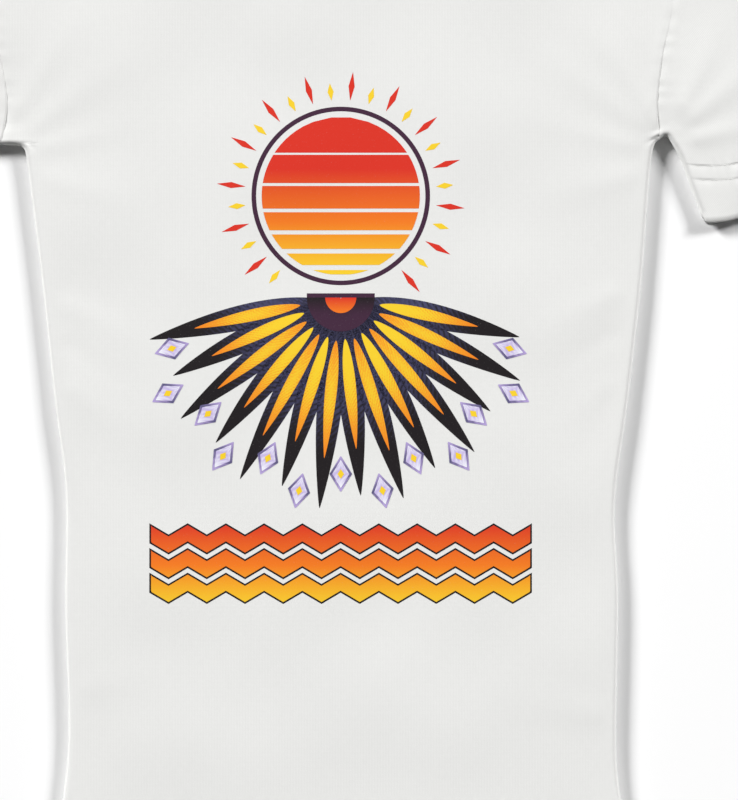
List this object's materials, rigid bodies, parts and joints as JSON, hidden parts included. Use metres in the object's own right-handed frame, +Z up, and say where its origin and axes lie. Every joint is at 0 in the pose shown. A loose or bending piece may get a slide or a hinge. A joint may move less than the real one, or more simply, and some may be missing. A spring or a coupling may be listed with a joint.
{
  "type": "t-shirt",
  "caption": "Pale short-sleeved crew-neck T-shirt, laid flat on its back, with a ribbed neckband, turned hems and an open inside.",
  "frame": {"origin": "middle of the laid shirt's bounding box, on the floor that it lies on", "axes": "+X across the chest to the right of the picture, +Y from the hem to the neck, +Z up from the floor through the front"},
  "size_m": [0.8232, 0.729, 0.0101],
  "materials": {
    "jersey": "pale grey-white combed cotton jersey, matt, with a soft print on the chest",
    "rib": "pale grey-white cotton rib, matt, in fine upright ribs",
    "tape": "pale twill tape, matt"
  },
  "bodies": {
    "root": {"body_front": "jersey", "body_back": "jersey", "sleeve_left": "jersey", "sleeve_right": "jersey", "cuff_left": "jersey", "cuff_right": "jersey", "hem": "jersey", "neckband": "rib", "neck_tape": "tape"}
  },
  "joints": []
}
